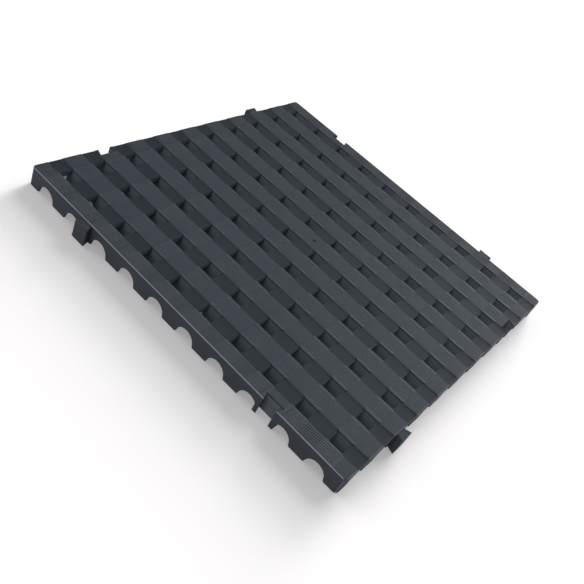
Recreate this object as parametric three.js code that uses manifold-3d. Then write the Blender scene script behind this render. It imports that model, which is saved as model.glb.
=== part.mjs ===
// Interlocking plastic floor tile: one moulding with raised slats, a grid of drain holes,
// an arched skirt and dovetail tabs and sockets on its four sides.
// Millimetres, +Z up, lying flat on the floor with its middle over the origin.
import * as THREE from "three";
import * as BufferGeometryUtils from "three/addons/utils/BufferGeometryUtils.js";
import Module from "manifold-3d";

// Plan and height
const SIDE = 500;
const HEIGHT = 25;
const CORNER_RADIUS = 5.5;
const EDGE_BEVEL = 0.8;

// Walls
const DECK = 4;
const SKIRT = 3;
const WEB = 2.2;
const COLLAR_DEPTH = 7;

// Drain holes in sunk channels between the slats
const PITCH = 48.5;
const CHANNEL = 21;
const HOLE = 19;
const BRIDGE_DROP = 1.2;
const EDGE_SLAT_MIN = 15;

// Arches through the skirt, and the lower notches through the webs inside
const ARCH_BASE = 27.6;
const ARCH_HEIGHT = 14.4;
const ARCH_LEAN_DEGREES = 15;
const ARCH_RELIEF = 14;
const NOTCH_BASE = 24;
const NOTCH_TOP = 18;
const NOTCH_HEIGHT = 6;
const ROWS_PER_NOTCH = 4;

// Dovetail tabs, and the sockets that take the tabs of the next tile
const TAB_ROOT = 13.4;
const TAB_TIP = 20;
const TAB_REACH = 9.2;
const TAB_DROP = 1.2;
const TAB_WALL = 2.4;
const TAB_SIDE_PLAY = 2.4;
const TAB_END_PLAY = 0.6;
const SOCKET_WALL = 2.2;
const ROWS_OUTSIDE_CONNECTOR = 2;

// Mark left by the injection gate
const GATE_DIAMETER = 5;
const GATE_DEPTH = 0.8;

// Colour and finish
const CHARCOAL = 0x3a3f44;
const ROUGHNESS = 0.55;

// Each cut runs this far past the face that it opens
const PAST = 1;

// A round stretch of an outline has twice this many flats
const CURVE_SEGMENTS = 3;

const half = SIDE / 2;
const underDeck = HEIGHT - DECK;
const sunk = HEIGHT - BRIDGE_DROP;
const holesPerRow = Math.floor((SIDE - 2 * EDGE_SLAT_MIN - CHANNEL) / PITCH) + 1;
const places = Array.from({ length: holesPerRow }, (_, i) => (i - (holesPerRow - 1) / 2) * PITCH);
const connectorPlace = (holesPerRow / 2 - ROWS_OUTSIDE_CONNECTOR) * PITCH;
const socketDepth = TAB_REACH + TAB_END_PLAY;

const wasm = await Module();
wasm.setup();

// A closed three.js geometry as a solid that can be cut and joined
function solid(geometry) {
  const bare = geometry.clone();
  bare.deleteAttribute("normal");
  bare.deleteAttribute("uv");
  const merged = BufferGeometryUtils.mergeVertices(bare);
  const vertProperties = merged.attributes.position.array;
  const triVerts = new Uint32Array(merged.index.array);
  return new wasm.Manifold(new wasm.Mesh({ numProp: 3, vertProperties, triVerts }));
}

// Box between two corners
function box(low, high) {
  const size = high.map((value, axis) => value - low[axis]);
  const geometry = new THREE.BoxGeometry(...size);
  return geometry.translate(...low.map((value, axis) => value + size[axis] / 2));
}

function outline(points) {
  return new THREE.Shape(points.map(([a, b]) => new THREE.Vector2(a, b)));
}

// An outline drawn in plan (x, y), raised from bottom to top
function raised(shape, bottom, top) {
  const options = { depth: top - bottom, bevelEnabled: false, curveSegments: CURVE_SEGMENTS };
  return new THREE.ExtrudeGeometry(shape, options).translate(0, 0, bottom);
}

// An outline drawn in (y, z), carried along X
function alongX(shape, start, end) {
  const turn = new THREE.Matrix4().makeBasis(
    new THREE.Vector3(0, 1, 0), new THREE.Vector3(0, 0, 1), new THREE.Vector3(1, 0, 0));
  return raised(shape, start, end).applyMatrix4(turn);
}

// The same feature of the -X side on all four sides
function onEachSide(geometry) {
  return [0, 1, 2, 3].map((turns) => geometry.clone().rotateZ((turns * Math.PI) / 2));
}

function union(geometries) {
  return wasm.Manifold.union(geometries.map(solid));
}

function roundedSquare(width, radius) {
  const arm = width / 2 - radius;
  const shape = new THREE.Shape();
  shape.absarc(arm, -arm, radius, -Math.PI / 2, 0);
  shape.absarc(arm, arm, radius, 0, Math.PI / 2);
  shape.absarc(-arm, arm, radius, Math.PI / 2, Math.PI);
  shape.absarc(-arm, -arm, radius, Math.PI, 1.5 * Math.PI);
  return shape;
}

// The outside: a rounded square with a small bevel round its top edge
function blank() {
  const geometry = new THREE.ExtrudeGeometry(roundedSquare(SIDE, CORNER_RADIUS), {
    depth: HEIGHT - EDGE_BEVEL,
    curveSegments: CURVE_SEGMENTS,
    bevelSegments: 1,
    bevelSize: EDGE_BEVEL,
    bevelThickness: EDGE_BEVEL,
    bevelOffset: -EDGE_BEVEL,
  });
  const belowFloor = box([-SIDE, -SIDE, -HEIGHT], [SIDE, SIDE, 0]);
  return solid(geometry).subtract(solid(belowFloor));
}

// The open underside, inside the skirt and under the deck
function cavity() {
  const inside = roundedSquare(SIDE - 2 * SKIRT, Math.max(CORNER_RADIUS - SKIRT, WEB));
  return solid(raised(inside, -PAST, underDeck));
}

// Full-height webs beside each column of holes, which stand on the floor
function webs() {
  const reach = half - SKIRT / 2;
  return places.flatMap((x) => [-1, 1].map((way) => {
    const faces = [x + way * (HOLE / 2), x + way * (HOLE / 2 + WEB)].sort((a, b) => a - b);
    return box([faces[0], -reach, 0], [faces[1], reach, underDeck + PAST]);
  }));
}

// A short collar under each drain hole
function collars() {
  const reach = HOLE / 2 + WEB;
  return places.flatMap((x) => places.map((y) =>
    box([x - reach, y - reach, HEIGHT - COLLAR_DEPTH], [x + reach, y + reach, underDeck + PAST])));
}

// Low notches across the webs, midway between rows of holes, so that water runs both ways
function notches() {
  const spread = ((NOTCH_BASE - NOTCH_TOP) / 2) * (1 + PAST / NOTCH_HEIGHT);
  const rows = places.slice(0, -1).filter((_, i) => i % ROWS_PER_NOTCH === 0);
  return rows.map((row) => {
    const y = row + PITCH / 2;
    const shape = outline([
      [y - NOTCH_TOP / 2 - spread, -PAST],
      [y + NOTCH_TOP / 2 + spread, -PAST],
      [y + NOTCH_TOP / 2, NOTCH_HEIGHT],
      [y - NOTCH_TOP / 2, NOTCH_HEIGHT],
    ]);
    return alongX(shape, SKIRT - half, half - SKIRT);
  });
}

// One arch: two flanks that lean inwards and a round head that touches both
function archShape(y) {
  const lean = THREE.MathUtils.degToRad(ARCH_LEAN_DEGREES);
  const halfBase = ARCH_BASE / 2;
  const headCentre = (ARCH_HEIGHT - halfBase * Math.cos(lean)) / (1 - Math.sin(lean));
  const headRadius = ARCH_HEIGHT - headCentre;
  const foot = halfBase + PAST * Math.tan(lean);
  const shape = new THREE.Shape();
  shape.moveTo(y - foot, -PAST);
  shape.lineTo(y + foot, -PAST);
  shape.absarc(y, headCentre, headRadius, lean, Math.PI - lean);
  return shape;
}

function arches() {
  return places.flatMap((y) =>
    onEachSide(alongX(archShape(y), -half - PAST, -half + ARCH_RELIEF)));
}

// A dovetail in plan on the -X side. It widens from root, at the skirt's face, to tip, at reach
// beyond the face, or behind it where reach is negative. It is drawn from start to reach.
function dovetail(y, root, tip, reach, start) {
  const widthAt = (out) => root + ((tip - root) * out) / reach;
  return outline([
    [-half - reach, y - tip / 2],
    [-half - start, y - widthAt(start) / 2],
    [-half - start, y + widthAt(start) / 2],
    [-half - reach, y + tip / 2],
  ]);
}

// Tabs are hollow and open below, with the same wall all round
function tabs() {
  const flare = (TAB_TIP - TAB_ROOT) / TAB_REACH;
  const inset = 2 * TAB_WALL * Math.hypot(1, flare / 2);
  const hollowReach = TAB_REACH - TAB_WALL;
  const hollowRoot = TAB_ROOT - inset;
  const hollowTip = hollowRoot + flare * hollowReach;
  const outer = dovetail(connectorPlace, TAB_ROOT, TAB_TIP, TAB_REACH, -PAST);
  const hollow = dovetail(connectorPlace, hollowRoot, hollowTip, hollowReach, 0);
  return {
    outer: onEachSide(raised(outer, 0, HEIGHT - TAB_DROP)),
    hollow: onEachSide(raised(hollow, -PAST, HEIGHT - TAB_DROP - TAB_WALL)),
  };
}

// Sockets go right through the height, inside a square housing behind the skirt
function sockets() {
  const mouth = TAB_ROOT + 2 * TAB_SIDE_PLAY;
  const back = TAB_TIP + 2 * TAB_SIDE_PLAY;
  const housingHalf = back / 2 + SOCKET_WALL;
  const y = -connectorPlace;
  const pocket = dovetail(y, mouth, back, -socketDepth, PAST);
  const housing = box(
    [-half, y - housingHalf, 0],
    [-half + socketDepth + SOCKET_WALL, y + housingHalf, underDeck + PAST]);
  return {
    housing: onEachSide(housing),
    pocket: onEachSide(raised(pocket, -PAST, HEIGHT + PAST)),
  };
}

// A funnel over a drain hole, from the channel's width at the slats' top to the hole's width below
function funnel(x, y) {
  const geometry = box([-1, -1, sunk], [1, 1, HEIGHT + PAST]);
  const corners = geometry.attributes.position;
  const topShare = (HEIGHT + PAST - sunk) / BRIDGE_DROP;
  for (let i = 0; i < corners.count; i++) {
    const share = corners.getZ(i) > HEIGHT ? topShare : 0;
    corners.setX(i, x + (corners.getX(i) * (HOLE + share * (CHANNEL - HOLE))) / 2);
    corners.setY(i, y + (corners.getY(i) * HOLE) / 2);
  }
  return geometry;
}

// Square drain holes through the deck, each with its funnel
function holes() {
  const reach = HOLE / 2;
  return places.flatMap((x) => places.flatMap((y) => [
    box([x - reach, y - reach, -PAST], [x + reach, y + reach, HEIGHT]),
    funnel(x, y),
  ]));
}

// Sunk bridges between the holes of a column, open at both ends of the tile
function bridges() {
  const edges = [-half - PAST, ...places.flatMap((y) => [y - HOLE / 2, y + HOLE / 2]), half + PAST];
  const starts = edges.filter((_, i) => i % 2 === 0);
  return places.flatMap((x) => starts.map((start, i) =>
    box([x - CHANNEL / 2, start, sunk], [x + CHANNEL / 2, edges[2 * i + 1], HEIGHT + PAST])));
}

// The gate mark sits in the middle slat, halfway along it
function gateMark() {
  const x = holesPerRow % 2 === 0 ? 0 : PITCH / 2;
  const radius = GATE_DIAMETER / 2;
  const geometry = new THREE.CylinderGeometry(radius, radius, GATE_DEPTH + PAST, 20);
  geometry.rotateX(Math.PI / 2);
  return geometry.translate(x, 0, HEIGHT + (PAST - GATE_DEPTH) / 2);
}

function floorTile() {
  const tab = tabs();
  const socket = sockets();
  const frame = blank().subtract(cavity());
  const ribbed = frame.add(union([...webs(), ...collars()]));
  const arched = ribbed.subtract(union([...notches(), ...arches()]));
  const joined = arched.add(union([...socket.housing, ...tab.outer]));
  return joined.subtract(union([
    ...tab.hollow, ...socket.pocket, ...holes(), ...bridges(), gateMark(),
  ]));
}

// A solid's faces as a flat-shaded geometry
function geometryOf(body) {
  const mesh = body.getMesh();
  const geometry = new THREE.BufferGeometry();
  geometry.setAttribute("position", new THREE.BufferAttribute(mesh.vertProperties, 3));
  geometry.setIndex(new THREE.BufferAttribute(mesh.triVerts, 1));
  geometry.computeVertexNormals();
  return geometry;
}

const plastic = new THREE.MeshStandardMaterial({
  color: CHARCOAL, roughness: ROUGHNESS, metalness: 0, flatShading: true,
});
const tile = new THREE.Mesh(geometryOf(floorTile()), plastic);
tile.name = "floor_tile";

const part = new THREE.Group();
part.add(tile);

export default part;
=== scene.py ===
"""Looks of the interlocking plastic floor tile: one satin charcoal moulding on a pale floor.

The moulding is worked out in millimetres with numpy, as closed solids that are joined and cut in turn,
and is then brought to metres. +Z is up, the slats run along Y, and the floor is at Z = 0.
"""

import math

import bpy
import numpy as np
from mathutils import Matrix, Vector


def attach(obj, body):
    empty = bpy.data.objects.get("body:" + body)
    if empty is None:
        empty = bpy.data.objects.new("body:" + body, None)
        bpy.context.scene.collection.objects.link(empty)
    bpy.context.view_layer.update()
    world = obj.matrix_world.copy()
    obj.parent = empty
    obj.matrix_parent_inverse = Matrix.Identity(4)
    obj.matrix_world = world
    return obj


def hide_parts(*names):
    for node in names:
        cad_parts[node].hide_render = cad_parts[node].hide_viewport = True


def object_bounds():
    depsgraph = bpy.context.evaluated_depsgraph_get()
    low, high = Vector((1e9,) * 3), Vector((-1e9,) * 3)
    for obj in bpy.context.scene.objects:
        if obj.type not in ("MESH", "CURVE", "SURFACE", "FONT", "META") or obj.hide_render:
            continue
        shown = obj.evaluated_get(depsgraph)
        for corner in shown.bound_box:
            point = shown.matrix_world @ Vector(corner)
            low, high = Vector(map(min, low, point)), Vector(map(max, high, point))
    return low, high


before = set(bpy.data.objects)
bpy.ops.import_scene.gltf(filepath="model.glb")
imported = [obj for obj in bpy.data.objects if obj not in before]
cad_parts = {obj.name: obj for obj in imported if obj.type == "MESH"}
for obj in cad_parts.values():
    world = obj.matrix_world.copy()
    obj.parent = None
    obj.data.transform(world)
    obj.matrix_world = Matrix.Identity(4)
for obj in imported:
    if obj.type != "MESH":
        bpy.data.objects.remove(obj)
cad_low, cad_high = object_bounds()

# Plan, height and walls. Lengths are in millimetres where no heading says metres.
METRE = 1000.0
HEIGHT = METRE * cad_high.z
TAB_REACH = 9.2
SIDE = METRE * (cad_high.x - cad_low.x) - 2 * TAB_REACH
HALF = SIDE / 2
CORNER_RADIUS = 5.5
EDGE_ROUND = 1.1
EDGE_STEPS = 4
FOOT_ROUND = 0.4
DECK = 4.0
SKIRT = 3.0
WEB = 2.2
WEB_DRAFT = 0.3
COLLAR_DEPTH = 7.0

# Drain holes in sunk channels between the slats
HOLES = 10
PITCH = 48.5
HOLE = 19.0
HOLE_ROUND = 0.9
HOLE_LEAD = 0.3
HOLE_STEPS = 3
BRIDGE_DROP = 1.2
BRIDGE_HALF = 9.4
SLOPE_HALF = 11.8
PAD_REACH = 12.5

# Fine lengthwise anti-slip ribs: on the pads beside the holes, and all along the edge slats
RIB_PITCH = 3.0
RIB_DEPTH = 0.5
GROOVE_TOP = 2.2
GROOVE_FLOOR = 1.5
PAD_HALF = 12.0
PAD_GROOVES = 7
EDGE_GROOVES = 6
EDGE_MARGIN = 0.4
RIB_END = 230.0
BLOCK_BREAK = 2.0
SOCKET_CLEAR = 15.0

# Arches in the skirt, and the notches in the webs inside
ARCH_BASE = 27.6
ARCH_HEIGHT = 14.4
ARCH_LEAN = math.radians(15)
ARCH_RELIEF = 14.0
ARCH_EDGE = 0.4
ARCH_STEPS = 20
NOTCH_BASE = 24.0
NOTCH_TOP = 18.0
NOTCH_HEIGHT = 6.0
ROWS_PER_NOTCH = 4

# Dovetail tabs and sockets
TAB_ROOT = 13.4
TAB_TIP = 20.0
TAB_DROP = 1.2
TAB_WALL = 2.4
TAB_EDGE = 0.5
SIDE_PLAY = 2.4
END_PLAY = 0.6
SOCKET_WALL = 2.2
SOCKET_EDGE = 0.5
ROWS_OUTSIDE_CONNECTOR = 2

# Gate mark in the middle slat
GATE_RADIUS = 2.6
GATE_DEPTH = 0.8
GATE_STEEPNESS = 3.0
NUB_RADII = (1.12, 0.80, 0.56)
NUB_DROPS = (1.30, 0.36, 0.24)
NUB_STEPS = 16

# Each cut runs this far past the face that it opens
PAST = 1.0

# Faces that meet at more than this angle keep a sharp edge
SHARP_FROM = math.radians(28)

SUNK = HEIGHT - BRIDGE_DROP
UNDER_DECK = HEIGHT - DECK
PLACES = (np.arange(HOLES) - (HOLES - 1) / 2) * PITCH
MIDDLES = PLACES[:-1] + PITCH / 2
CONNECTOR = (HOLES / 2 - ROWS_OUTSIDE_CONNECTOR) * PITCH
SOCKET_DEPTH = TAB_REACH + END_PLAY
HOUSING_HALF = TAB_TIP / 2 + SIDE_PLAY + SOCKET_WALL

X, Y, Z = range(3)


# Solids


class Solids:
    """Closed solids as one array of points and blocks of faces with equal numbers of corners."""

    def __init__(self, points, blocks):
        self.points = points
        self.blocks = blocks

    def at(self, places):
        """One copy at each place: point + place, with the faces' numbers raised copy by copy."""
        places = np.asarray(places, float).reshape(-1, 1, 3)
        steps = np.arange(len(places)).reshape(-1, 1, 1) * len(self.points)
        points = (self.points[None] + places).reshape(-1, 3)
        blocks = [(block[None] + steps).reshape(-1, block.shape[1]) for block in self.blocks]
        return Solids(points, blocks)

    def turned(self, quarters):
        """Quarter turns about Z: (x, y) becomes (-y, x) each time."""
        points = self.points
        for _ in range(quarters):
            x, y, z = points.T
            points = np.stack([-y, x, z], axis=1)
        return Solids(points, self.blocks)

    def on_each_side(self):
        return together([self.turned(quarters) for quarters in range(4)])

    def mesh(self, name):
        made = bpy.data.meshes.new(name)
        faces = [face for block in self.blocks for face in block.tolist()]
        made.from_pydata(self.points.tolist(), [], faces)
        return made


def together(parts):
    """Several Solids as one, each one's face numbers raised by the points before it."""
    starts = np.cumsum([0] + [len(part.points) for part in parts])
    blocks = [block + start for part, start in zip(parts, starts) for block in part.blocks]
    return Solids(np.concatenate([part.points for part in parts]), blocks)


def stacked(outlines, levels, axis=Z):
    """Closed solid through flat outlines stacked along an axis.

    outlines[i, j] is corner j of outline i, in the two axes that follow the given one in X, Y, Z
    order, and levels[i] is its place on that axis. Side face (i, j) joins corners j and j + 1 of
    outlines i and i + 1, and the first and last outlines are the ends. The outlines are turned
    round where their area, half the sum of a_j * b_j+1 - a_j+1 * b_j, is negative.
    """
    outlines = np.asarray(outlines, float)
    a, b = outlines[0].T
    if np.sum(a * np.roll(b, -1) - np.roll(a, -1) * b) < 0:
        outlines = outlines[:, ::-1]
    count, around = outlines.shape[:2]
    points = np.empty((count, around, 3))
    points[..., (axis + 1) % 3] = outlines[..., 0]
    points[..., (axis + 2) % 3] = outlines[..., 1]
    points[..., axis] = np.asarray(levels, float)[:, None]
    here = np.arange(count * around).reshape(count, around)
    ahead = np.roll(here, -1, axis=1)
    sides = np.stack([here[:-1], ahead[:-1], ahead[1:], here[1:]], axis=-1).reshape(-1, 4)
    return Solids(points.reshape(-1, 3), [sides, here[:1, ::-1], here[-1:]])


def prism(outline, start, end, axis=Z):
    """One outline carried straight along an axis."""
    return stacked([outline, outline], [start, end], axis)


def upright_block(low, high):
    """A block between two corners."""
    (x0, y0, z0), (x1, y1, z1) = low, high
    return prism([[x0, y0], [x1, y0], [x1, y1], [x0, y1]], z0, z1)


def rounded_square(width, radius, steps=6):
    """Square with round corners: arm * (sign, sign) + radius * (cos t, sin t), a quarter turn each."""
    quarter = np.linspace(0, math.pi / 2, steps + 1)
    turns = (quarter[None] + np.arange(4)[:, None] * math.pi / 2).ravel()
    corners = np.repeat(np.arange(4) * math.pi / 2 + math.pi / 4, steps + 1)
    arm = (width / 2 - radius) * math.sqrt(2)
    centres = arm * np.stack([np.cos(corners), np.sin(corners)], axis=1)
    return centres + radius * np.stack([np.cos(turns), np.sin(turns)], axis=1)


def circle(radius, steps=32):
    """radius * (cos t, sin t) over one turn."""
    turns = np.arange(steps) * 2 * math.pi / steps
    return radius * np.stack([np.cos(turns), np.sin(turns)], axis=1)


def on_grid(xs, ys):
    """Every (x, y, 0) of a grid."""
    x, y = np.meshgrid(xs, ys, indexing="ij")
    return np.stack([x.ravel(), y.ravel(), np.zeros(x.size)], axis=1)


# Pieces of the moulding, each worked out from the sizes above


def blank():
    """The outside: rounded squares inset by a quarter round at the top edge and a bevel at the feet."""
    turn = np.linspace(0, math.pi / 2, EDGE_STEPS + 1)
    insets = np.concatenate([[FOOT_ROUND, 0], EDGE_ROUND * (1 - np.cos(turn))])
    levels = np.concatenate([[0, FOOT_ROUND], HEIGHT - EDGE_ROUND * (1 - np.sin(turn))])
    outlines = [rounded_square(SIDE - 2 * inset, CORNER_RADIUS - inset) for inset in insets]
    return stacked(outlines, levels)


def cavity():
    """The open underside, inside the skirt and under the deck."""
    return prism(rounded_square(SIDE - 2 * SKIRT, CORNER_RADIUS - SKIRT), -PAST, UNDER_DECK)


def webs():
    """Webs beside each column of holes, a little thinner at the floor than at the deck."""
    inner, outer = HOLE / 2, HOLE / 2 + WEB
    top = UNDER_DECK + PAST
    section = [[0, inner + WEB_DRAFT], [0, outer - WEB_DRAFT], [top, outer], [top, inner]]
    mirrored = [[z, -x] for z, x in section]
    reach = HALF - SKIRT / 2
    pair = together([prism(shape, -reach, reach, Y) for shape in (section, mirrored)])
    return pair.at(on_grid(PLACES, [0]))


def collars():
    """A short square collar under each drain hole."""
    reach = HOLE / 2 + WEB
    low, high = HEIGHT - COLLAR_DEPTH, UNDER_DECK + PAST
    collar = upright_block([-reach, -reach, low], [reach, reach, high])
    return collar.at(on_grid(PLACES, PLACES))


def notches():
    """Low tapered notches across the webs, midway between rows."""
    spread = (NOTCH_BASE - NOTCH_TOP) / 2 * (1 + PAST / NOTCH_HEIGHT)
    foot, head = NOTCH_TOP / 2 + spread, NOTCH_TOP / 2
    outline = [[-foot, -PAST], [foot, -PAST], [head, NOTCH_HEIGHT], [-head, NOTCH_HEIGHT]]
    across = prism(outline, SKIRT - HALF, HALF - SKIRT, X)
    return across.at(on_grid([0], MIDDLES[::ROWS_PER_NOTCH]))


def arch_outline(grow):
    """Leaning flanks and a round head that touches both, all moved outwards by grow.

    The head's centre lies at (H - b cos lean) / (1 - sin lean), for height H and half base b, and
    its points are centre + radius * (cos t, sin t) from lean to half a turn less lean.
    """
    half_base = ARCH_BASE / 2
    centre = (ARCH_HEIGHT - half_base * math.cos(ARCH_LEAN)) / (1 - math.sin(ARCH_LEAN))
    radius = ARCH_HEIGHT - centre + grow
    foot = half_base + grow / math.cos(ARCH_LEAN) + PAST * math.tan(ARCH_LEAN)
    turns = np.linspace(ARCH_LEAN, math.pi - ARCH_LEAN, ARCH_STEPS + 1)
    head = np.stack([radius * np.cos(turns), centre + radius * np.sin(turns)], axis=1)
    return np.concatenate([[[-foot, -PAST], [foot, -PAST]], head])


def arches():
    """One arch for each row on each side, eased at the skirt's outer edge."""
    outlines = [arch_outline(ARCH_EDGE + PAST), arch_outline(0), arch_outline(0)]
    levels = [-HALF - PAST, -HALF + ARCH_EDGE, -HALF + ARCH_RELIEF]
    return stacked(outlines, levels, X).at(on_grid([0], PLACES)).on_each_side()


def dovetail(root, tip, reach, start, grow=0.0):
    """Dovetail in plan on the -X side, from start to reach beyond the face, moved outwards by grow.

    Its half width at a distance d is root / 2 + (tip - root) / 2 * d / reach, plus grow over the
    cosine of the flank's turn. A negative reach goes into the tile.
    """
    slope = (tip - root) / 2 / reach
    end = reach + grow * math.copysign(1, reach)
    ease = grow * math.hypot(1, slope)
    wide, narrow = [root / 2 + slope * d + ease for d in (end, start)]
    outer, inner = -HALF - end, -HALF - start
    return [[outer, -wide], [inner, -narrow], [inner, narrow], [outer, wide]]


def tabs():
    """Dovetail tabs with eased top edges, standing on the floor."""
    plain = dovetail(TAB_ROOT, TAB_TIP, TAB_REACH, -PAST)
    eased = dovetail(TAB_ROOT, TAB_TIP, TAB_REACH, -PAST, -TAB_EDGE)
    top = HEIGHT - TAB_DROP
    tab = stacked([plain, plain, eased], [0, top - TAB_EDGE, top])
    return tab.at([0, CONNECTOR, 0]).on_each_side()


def tab_hollows():
    """The hollow in each tab, open below, with one wall thickness all round."""
    slope = (TAB_TIP - TAB_ROOT) / 2 / TAB_REACH
    inset = 2 * TAB_WALL * math.hypot(1, slope)
    reach = TAB_REACH - TAB_WALL
    root = TAB_ROOT - inset
    outline = dovetail(root, root + 2 * slope * reach, reach, 0)
    hollow = prism(outline, -PAST, HEIGHT - TAB_DROP - TAB_WALL)
    return hollow.at([0, CONNECTOR, 0]).on_each_side()


def housings():
    """Square housings behind the skirt, round the sockets."""
    low = [-HALF, -HOUSING_HALF - CONNECTOR, 0]
    high = [-HALF + SOCKET_DEPTH + SOCKET_WALL, HOUSING_HALF - CONNECTOR, UNDER_DECK + PAST]
    return upright_block(low, high).on_each_side()


def sockets():
    """Dovetail sockets through the whole height, eased at the top edge."""
    mouth, back = TAB_ROOT + 2 * SIDE_PLAY, TAB_TIP + 2 * SIDE_PLAY
    grows = [0, 0, SOCKET_EDGE + PAST]
    levels = [-PAST, HEIGHT - SOCKET_EDGE, HEIGHT + PAST]
    outlines = [dovetail(mouth, back, -SOCKET_DEPTH, PAST, grow) for grow in grows]
    return stacked(outlines, levels).at([0, -CONNECTOR, 0]).on_each_side()


def bay(foot_low, foot_high, top_low, top_high):
    """One sunk bay: its floor is a rectangle, and its sides slope up to the slats.

    The top outline has the floor's corners at both ends, because the pads stand upright beside the
    holes, and steps out to the slats between top_low and top_high.
    """
    near, far = BRIDGE_HALF, SLOPE_HALF
    floor = [[-near, foot_low], [near, foot_low], [near, top_low], [near, top_high],
             [near, foot_high], [-near, foot_high], [-near, top_high], [-near, top_low]]
    top = [[-near, foot_low], [near, foot_low], [far, top_low], [far, top_high],
           [near, foot_high], [-near, foot_high], [-far, top_high], [-far, top_low]]
    over = [[math.copysign(far + (far - near) * PAST / BRIDGE_DROP, x) if abs(x) > near else x, y]
            for x, y in top]
    return stacked([floor, top, over], [SUNK, HEIGHT, HEIGHT + PAST])


def bridges():
    """Sunk bays between the holes of each column, and the ones that run out at the tile's edges."""
    foot, top = (PITCH - HOLE) / 2, PITCH / 2 - PAD_REACH
    inner = bay(-foot - PAST / 2, foot + PAST / 2, -top, top).at(on_grid(PLACES, MIDDLES))
    last = PLACES[-1]
    end = bay(last + HOLE / 2 - PAST / 2, HALF + 2 * PAST, last + PAD_REACH, HALF + PAST)
    return together([inner, end.at(on_grid(PLACES, [0])), end.turned(2).at(on_grid(PLACES, [0]))])


def groove(start, end):
    """One groove along Y, tapered in section, in the slats' top."""
    top, floor = GROOVE_TOP / 2, GROOVE_FLOOR / 2
    over = top + (top - floor) * PAST / RIB_DEPTH
    low, high = HEIGHT - RIB_DEPTH, HEIGHT + PAST
    section = [[low, -floor], [low, floor], [high, over], [high, -over]]
    return prism(section, start, end, Y)


def pad_grooves():
    """Grooves on the pads beside each row of holes, on every inner slat."""
    across = (np.arange(PAD_GROOVES) - (PAD_GROOVES - 1) / 2) * RIB_PITCH
    xs = (MIDDLES[:, None] + across[None]).ravel()
    return groove(-PAD_HALF, PAD_HALF).at(on_grid(xs, PLACES))


def edge_grooves():
    """Grooves along both edge slats: blocks from one break midway between rows to the next.

    A block stops short of each break by half its width, and of the socket by more.
    """
    breaks = np.concatenate([[-RIB_END], MIDDLES, [RIB_END]])
    clear = np.where(np.isclose(breaks, -CONNECTOR), SOCKET_CLEAR, BLOCK_BREAK / 2)
    spans = zip(breaks[:-1] + clear[:-1], breaks[1:] - clear[1:])
    start = PLACES[-1] + SLOPE_HALF + EDGE_MARGIN
    across = start + (np.arange(EDGE_GROOVES) + 0.5) * RIB_PITCH
    one_side = together([groove(low, high).at(on_grid(-across, [0])) for low, high in spans])
    return together([one_side, one_side.turned(2)])


def holes():
    """Square holes with round corners and an eased upper edge beside the pads."""
    plain = rounded_square(HOLE, HOLE_ROUND, HOLE_STEPS)
    ease = HOLE_LEAD + PAST
    eased = rounded_square(HOLE + 2 * ease, HOLE_ROUND + ease, HOLE_STEPS)
    levels = [-PAST, HEIGHT - HOLE_LEAD, HEIGHT + PAST]
    return stacked([plain, plain, eased], levels).at(on_grid(PLACES, PLACES))


def gate_pit():
    """Round pit with leaning walls, in the middle of the middle slat."""
    floor = GATE_RADIUS - GATE_DEPTH / GATE_STEEPNESS
    over = GATE_RADIUS + PAST / GATE_STEEPNESS
    return stacked([circle(floor), circle(over)], [HEIGHT - GATE_DEPTH, HEIGHT + PAST])


def gate_nub():
    """The sheared sprue in the pit, a little lower than the slat."""
    outlines = [circle(radius, NUB_STEPS) for radius in NUB_RADII]
    return stacked(outlines, [HEIGHT - drop for drop in NUB_DROPS])


def moulded(name, first, steps):
    """Joins and cuts closed solids in turn, and brings the result to metres and smooth shading."""
    whole = bpy.data.objects.new(name, first.mesh(name))
    bpy.context.scene.collection.objects.link(whole)
    for operation, solids in steps:
        tool = bpy.data.objects.new("tool", solids.mesh("tool"))
        bpy.context.scene.collection.objects.link(tool)
        step = whole.modifiers.new("step", "BOOLEAN")
        step.operation = operation
        step.solver = "MANIFOLD"
        step.object = tool
        seen = whole.evaluated_get(bpy.context.evaluated_depsgraph_get())
        made = bpy.data.meshes.new_from_object(seen)
        whole.modifiers.clear()
        old = whole.data
        whole.data = made
        bpy.data.meshes.remove(old)
        used = tool.data
        bpy.data.objects.remove(tool)
        bpy.data.meshes.remove(used)
    whole.data.transform(Matrix.Scale(1 / METRE, 4))
    whole.data.name = name
    whole.data.shade_smooth()
    whole.data.set_sharp_from_angle(angle=SHARP_FROM)
    weighted = whole.modifiers.new("weighted", "WEIGHTED_NORMAL")
    weighted.keep_sharp = True
    return whole


def floor_tile():
    return moulded("moulded_floor_tile", blank(), [
        ("DIFFERENCE", cavity()),
        ("UNION", webs()),
        ("UNION", collars()),
        ("DIFFERENCE", notches()),
        ("DIFFERENCE", arches()),
        ("UNION", housings()),
        ("UNION", tabs()),
        ("DIFFERENCE", tab_hollows()),
        ("DIFFERENCE", bridges()),
        ("DIFFERENCE", holes()),
        ("DIFFERENCE", pad_grooves()),
        ("DIFFERENCE", edge_grooves()),
        ("DIFFERENCE", sockets()),
        ("DIFFERENCE", gate_pit()),
        ("UNION", gate_nub()),
    ])


# Materials

# Widths over which one finish gives way to the next, in millimetres
SOFT_RAMP = 0.4
CRISP_RAMP = 0.25
CREST_RAMP = 0.125
PAD_RAMP = 2 / 3
GLOW_RAMP = 2.5

# Heights at which one finish gives way to the next
RAISED_ABOVE = SUNK + BRIDGE_DROP / 4
INSIDE_BELOW = SUNK - 0.6
CREST_ABOVE = HEIGHT - RIB_DEPTH * 0.4

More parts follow.
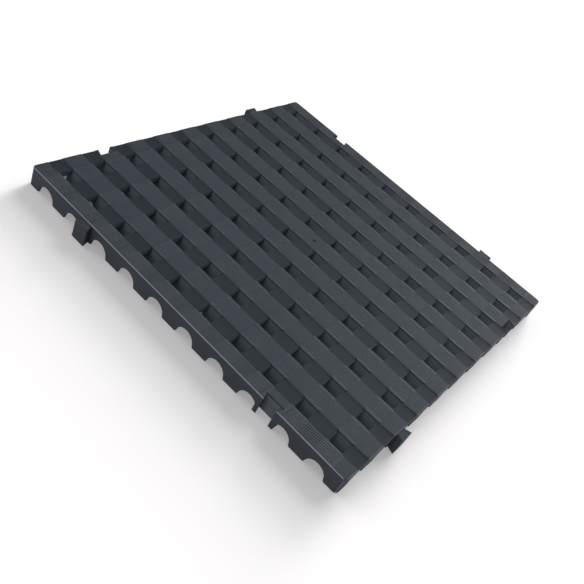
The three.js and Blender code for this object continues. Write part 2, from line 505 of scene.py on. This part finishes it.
# Plastic colours; each pair is clouded from its first to its second
# The sunk bridges are coloured darker than the slats
SUNK_COLOURS = (0.0092, 0.0138, 0.0204, 1), (0.0188, 0.0238, 0.0302, 1)
SLAT_COLOURS = (0.0318, 0.0400, 0.0512, 1), (0.0535, 0.0612, 0.0715, 1)
# Painted light: the insides, below the sunk bridges, are coloured lighter than the slats
INSIDE_LIGHT_COLOURS = (0.0620, 0.0740, 0.0880, 1), (0.0820, 0.0940, 0.1090, 1)
# Painted highlight on the ribs' crests and on the pads' rims beside the holes
CREST_HIGHLIGHT_COLOUR = (0.105, 0.116, 0.131, 1)
# Painted highlight along the tile's top edge
EDGE_HIGHLIGHT_COLOUR = (0.230, 0.250, 0.275, 1)
DUST_COLOUR = (0.060, 0.064, 0.068, 1)

# How far each place goes towards a colour
FLOW_SHARE = 0.6
# The pads go all the way to the slat colour and the plain slats only this far: painted light on the pads, for
# the light their ribs catch
PLAIN_SLAT = 0.75
ON_SKIRT = 0.52
# Shares of painted highlight: on the pads' rib crests, the pads' rims and the end edges, then the least and
# clouded strength of the crest and top-edge highlights
ON_PAD_CRESTS = 0.60
ON_PAD_RIMS = 0.15
ON_END_EDGES = 0.35
CREST_HIGHLIGHT_LEAST, CREST_HIGHLIGHT_CLOUD = 0.30, 0.50
EDGE_HIGHLIGHT_LEAST, EDGE_HIGHLIGHT_CLOUD = 0.50, 0.50
DUST_SHARE = 0.10

# The satin: its roughness and what changes it, its specular level, and its grain's depth in metres
ROUGHNESS = 0.66
SLAT_SMOOTHER = 0.02
PAD_SMOOTHER = 0.10
CREST_SMOOTHER = 0.06
UNEVENNESS = 0.06
SATIN_SPECULAR = 0.22
GRAIN_DEPTH = 0.00007
FINE_GRAIN = 0.4

# The floor, whose glow dims under the tile from GLOW_UNDER_EDGE inwards, as painted shade under the tile
FLOOR_COLOUR = (0.925, 0.90, 0.905, 1)
FLOOR_GLOW = 0.29
GLOW_COLOUR = (1.0, 0.975, 0.985, 1)
SHADED_GLOW_UNDER_TILE = (0.32, 0.32, 0.32, 1)
GLOW_UNDER_EDGE = 24.0


class Value:
    """A number socket: +, -, * and abs on it add Math nodes."""

    def __init__(self, finish, socket):
        self.finish = finish
        self.socket = socket

    def _math(self, operation, *terms):
        made = self.finish.node("ShaderNodeMath", {"operation": operation}, dict(enumerate(terms)))
        return Value(self.finish, made.outputs[0])

    def __add__(self, other):
        return self._math("ADD", self, other)

    def __sub__(self, other):
        return self._math("SUBTRACT", self, other)

    def __rsub__(self, other):
        return self._math("SUBTRACT", other, self)

    def __mul__(self, other):
        return self._math("MULTIPLY", self, other)

    def __abs__(self):
        return self._math("ABSOLUTE", self)

    __radd__ = __add__
    __rmul__ = __mul__

    def rounded(self):
        return self._math("ROUND", self)

    def held(self):
        """The same number, held between 0 and 1."""
        made = self._math("ADD", self, 0.0)
        made.socket.node.use_clamp = True
        return made

    def past(self, limit, ramp):
        """0 up to a limit, and 1 from a ramp's width past it."""
        return ((self - limit) * (1 / ramp)).held()

    def short_of(self, limit, ramp):
        """0 from a limit on, and 1 where the number is a ramp's width or more short of it."""
        return ((limit - self) * (1 / ramp)).held()


class Finish:
    """A material and the one method that adds its nodes."""

    def __init__(self, name):
        self.material = bpy.data.materials.new(name)
        self.material.use_nodes = True
        self.tree = self.material.node_tree
        self.tree.nodes.clear()
        self.place = self.node("ShaderNodeTexCoord", {}, {}).outputs["Object"]

    def node(self, kind, settings, inputs):
        made = self.tree.nodes.new(kind)
        for name, value in settings.items():
            setattr(made, name, value)
        for name, value in inputs.items():
            socket = made.inputs[name]
            source = value.socket if isinstance(value, Value) else value
            if isinstance(source, bpy.types.NodeSocket):
                self.tree.links.new(source, socket)
            else:
                socket.default_value = source
        return made

    def noise(self, scale, detail=2.0, roughness=0.5):
        inputs = {"Vector": self.place, "Scale": scale, "Detail": detail, "Roughness": roughness}
        return Value(self, self.node("ShaderNodeTexNoise", {}, inputs).outputs[0])

    def millimetres(self):
        """The X, Y and Z of the place, in millimetres."""
        made = self.node("ShaderNodeSeparateXYZ", {}, {"Vector": self.place})
        return [Value(self, made.outputs[name]) * METRE for name in "XYZ"]

    def mixed(self, first, second, share):
        made = self.node("ShaderNodeMix", {"data_type": "RGBA"}, {0: share, 6: first, 7: second})
        return made.outputs[2]

    def bumped(self, height, distance):
        inputs = {"Height": height, "Distance": distance, "Strength": 1.0}
        return self.node("ShaderNodeBump", {}, inputs).outputs["Normal"]

    def end(self, shader):
        self.node("ShaderNodeOutputMaterial", {}, {"Surface": shader.outputs[0]})
        return self.material


def from_nearest(place):
    """The distance to the nearest row or column of holes: pitch * |n - round(n)|, n = place / pitch + 1/2."""
    count = place * (1 / PITCH) + 0.5
    return abs(count - count.rounded()) * PITCH


def on_crests(x, y, z, from_row, on_edge_slat):
    """The ribs' crests on the inner slats' pads, and in the blocks of ribs on the edge slats.

    The blocks leave out the breaks midway between rows, the sockets, which lie where x * y is
    positive, and the ends of the slats.
    """
    across = from_nearest(x).past((PITCH - PAD_GROOVES * RIB_PITCH) / 2, CRISP_RAMP)
    on_pads = across * from_row.short_of(PAD_HALF, CRISP_RAMP) * (1 - on_edge_slat)
    by_connector = abs(abs(y) - CONNECTOR).short_of(SOCKET_CLEAR + BLOCK_BREAK, CRISP_RAMP)
    by_socket = by_connector * (x * y * (1 / METRE)).held()
    past_ribs = abs(y).past(RIB_END - BLOCK_BREAK, CRISP_RAMP)
    in_block = from_row.short_of((PITCH - BLOCK_BREAK) / 2, CRISP_RAMP) * (1 - (by_socket + past_ribs).held())
    ribbed = on_pads * ON_PAD_CRESTS + on_edge_slat * in_block
    return z.past(CREST_ABOVE, CREST_RAMP) * ribbed


def satin_plastic():
    """Charcoal moulded plastic: spark-eroded grain, faint flow marks and a trace of dust.

    The sunk bridges are rougher than the slats and coloured darker, and the skirt's colour lies between
    them and the slats. The pads beside the holes are painted a little brighter than the slats between them,
    as painted light. The ribs' crests, the pads' rims and the top edge carry painted highlights, and the
    insides are painted lighter, as painted light.
    """
    finish = Finish("satin_charcoal_plastic")
    x, y, z = finish.millimetres()
    flow = finish.noise(scale=7.0, detail=3.0)
    cloud = finish.noise(scale=38.0, detail=4.0, roughness=0.6)
    grain = finish.noise(scale=1500.0, detail=2.0, roughness=0.6)
    fine = finish.noise(scale=5200.0, detail=1.0)

    raised = z.past(RAISED_ABOVE, SOFT_RAMP)
    from_row = from_nearest(y)
    on_edge_slat = abs(x).past(PLACES[-1] + SLOPE_HALF, CRISP_RAMP)
    padded = ((PAD_REACH - from_row) * (1 / PAD_RAMP) + on_edge_slat).held() * raised
    beyond_x = abs(x).past(HALF - EDGE_ROUND, CRISP_RAMP)
    beyond_y = abs(y).past(HALF - EDGE_ROUND, CRISP_RAMP)
    within = (1 - beyond_x) * (1 - beyond_y)
    inside = z.short_of(INSIDE_BELOW, SOFT_RAMP) * within
    crest = on_crests(x, y, z, from_row, on_edge_slat) * within
    rim = from_nearest(x).short_of(HOLE / 2 + HOLE_LEAD, CRISP_RAMP) * padded * (1 - on_edge_slat)
    # Where the top edge's painted highlight goes: full along the X sides, weaker on the end edges
    bevel = (beyond_x + beyond_y * ON_END_EDGES).held() * raised

    cloudy = flow * FLOW_SHARE + cloud * (1 - FLOW_SHARE)
    sunk, slat, lit_inside = [finish.mixed(first, second, cloudy)
                         for first, second in (SUNK_COLOURS, SLAT_COLOURS, INSIDE_LIGHT_COLOURS)]
    # Pads painted brighter than the plain slats between them: painted light
    slatted = raised * (PLAIN_SLAT + padded * (1 - PLAIN_SLAT)) + (1 - within) * ON_SKIRT
    outside = finish.mixed(sunk, slat, slatted.held())
    # Painted highlight on the ribs' crests and the pads' rims
    highlight = crest * (CREST_HIGHLIGHT_LEAST + cloud * CREST_HIGHLIGHT_CLOUD) + rim * ON_PAD_RIMS
    highlighted = finish.mixed(outside, CREST_HIGHLIGHT_COLOUR, highlight)
    # Painted highlight along the top edge
    edge_lit = finish.mixed(highlighted, EDGE_HIGHLIGHT_COLOUR, bevel * (EDGE_HIGHLIGHT_LEAST + cloud * EDGE_HIGHLIGHT_CLOUD))
    # Painted light: the insides are coloured lighter
    body = finish.mixed(edge_lit, lit_inside, inside)
    colour = finish.mixed(body, DUST_COLOUR, grain * cloud * DUST_SHARE)
    smoother = raised * SLAT_SMOOTHER + padded * PAD_SMOOTHER + crest * CREST_SMOOTHER
    shader = finish.node("ShaderNodeBsdfPrincipled", {}, {
        "Base Color": colour,
        "Roughness": ROUGHNESS - smoother + (flow + grain) * UNEVENNESS,
        "Normal": finish.bumped(grain + fine * FINE_GRAIN, GRAIN_DEPTH),
        "Specular IOR Level": SATIN_SPECULAR,
    })
    return finish.end(shader)


def pale_floor():
    """A white table that glows a little, as a light table does, dimmed under the tile as painted shade."""
    finish = Finish("pale_floor")
    x, y, _ = finish.millimetres()
    near, far = GLOW_UNDER_EDGE - HALF, HALF
    under_x = x.past(near, GLOW_RAMP) * x.short_of(far, GLOW_RAMP)
    under_y = y.past(near, GLOW_RAMP) * y.short_of(far, GLOW_RAMP)
    shader = finish.node("ShaderNodeBsdfPrincipled", {}, {
        "Base Color": FLOOR_COLOUR,
        "Roughness": 0.9,
        "Emission Color": finish.mixed(GLOW_COLOUR, SHADED_GLOW_UNDER_TILE, under_x * under_y),
        "Emission Strength": FLOOR_GLOW,
    })
    return finish.end(shader)


# Stage, light and camera. The floor's sizes, the lamps' distance and the camera's place are in metres.

FLOOR_SIZE = 12.0
FLOOR_DROP = 0.0002
LAMP_DISTANCE = 2.0
WORLD_COLOUR = (0.93, 0.97, 1.0, 1)
WORLD_STRENGTH = 0.20
BACKDROP_COLOUR = (1, 1, 1, 1)
WHITE_LIGHT = (1, 1, 1)
COOL_LIGHT = (0.95, 0.98, 1.0)
CAMERA_PLACE = Vector((-0.72112, -0.30146, 0.56844))
CAMERA_RIGHT = Vector((0.61110, -0.70012, 0.36932))
CAMERA_UP = Vector((0.33351, 0.65087, 0.68201))
FOCAL_PIXELS = 734.0
FRAME_PIXELS = 584.0
SENSOR = 36.0


def add_floor():
    half = FLOOR_SIZE / 2
    corners = [(-half, -half, 0), (half, -half, 0), (half, half, 0), (-half, half, 0)]
    made = bpy.data.meshes.new("floor")
    made.from_pydata(corners, [], [(0, 1, 2, 3)])
    floor = bpy.data.objects.new("floor", made)
    floor.location.z = -FLOOR_DROP
    floor.data.materials.append(pale_floor())
    bpy.context.scene.collection.objects.link(floor)
    return floor


def add_soft_light(name, azimuth, elevation, width, strength, colour=WHITE_LIGHT, only=None):
    """A broad far light, seen from the tile at an azimuth from +X and an elevation, in degrees.

    Where only names an object, the light falls on that object alone.
    """
    light = bpy.data.lights.new(name, "SUN")
    light.angle = math.radians(width)
    light.energy = strength
    light.color = colour
    turn, rise = math.radians(azimuth), math.radians(elevation)
    along = math.cos(rise)
    towards = Vector((along * math.cos(turn), along * math.sin(turn), math.sin(rise)))
    lamp = bpy.data.objects.new(name, light)
    lamp.location = LAMP_DISTANCE * towards
    lamp.rotation_euler = towards.to_track_quat("Z", "Y").to_euler()
    bpy.context.scene.collection.objects.link(lamp)
    if only is not None:
        lit = bpy.data.collections.new(name + "_lights")
        lit.objects.link(only)
        lamp.light_linking.receiver_collection = lit


def add_world():
    """Dim even light from all round, which the camera sees as a plain white backdrop."""
    world = bpy.data.worlds.new("studio")
    world.use_nodes = True
    tree = world.node_tree
    around = tree.nodes["Background"]
    around.inputs["Color"].default_value = WORLD_COLOUR
    around.inputs["Strength"].default_value = WORLD_STRENGTH
    backdrop = tree.nodes.new("ShaderNodeBackground")
    backdrop.inputs["Color"].default_value = BACKDROP_COLOUR
    rays = tree.nodes.new("ShaderNodeLightPath")
    choice = tree.nodes.new("ShaderNodeMixShader")
    tree.links.new(rays.outputs["Is Camera Ray"], choice.inputs[0])
    tree.links.new(around.outputs[0], choice.inputs[1])
    tree.links.new(backdrop.outputs[0], choice.inputs[2])
    tree.links.new(choice.outputs[0], tree.nodes["World Output"].inputs["Surface"])
    bpy.context.scene.world = world


def add_camera():
    """The photograph's viewpoint, from the tile's four corners: axes as columns, then the place."""
    back = CAMERA_RIGHT.cross(CAMERA_UP)
    axes = Matrix((CAMERA_RIGHT, CAMERA_UP, back)).transposed()
    camera = bpy.data.objects.new("camera", bpy.data.cameras.new("camera"))
    camera.data.sensor_width = SENSOR
    camera.data.lens = SENSOR * FOCAL_PIXELS / FRAME_PIXELS
    camera.matrix_world = Matrix.Translation(CAMERA_PLACE) @ axes.to_4x4()
    bpy.context.scene.collection.objects.link(camera)
    bpy.context.scene.camera = camera


tile = floor_tile()
tile.data.materials.clear()
tile.data.materials.append(satin_plastic())
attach(tile, "root")
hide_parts("floor_tile")

floor = add_floor()
add_world()
add_soft_light("left", azimuth=176, elevation=44, width=40, strength=1.6, only=tile)
add_soft_light("back_right", azimuth=-12, elevation=25, width=40, strength=2.8, colour=COOL_LIGHT, only=tile)
add_soft_light("back", azimuth=6, elevation=25, width=46, strength=2.4, only=floor)
add_soft_light("back_low", azimuth=10, elevation=12, width=20, strength=3.2, only=floor)
add_soft_light("back_left", azimuth=100, elevation=25, width=40, strength=0.6)
add_camera()
bpy.context.scene.view_settings.view_transform = "Standard"
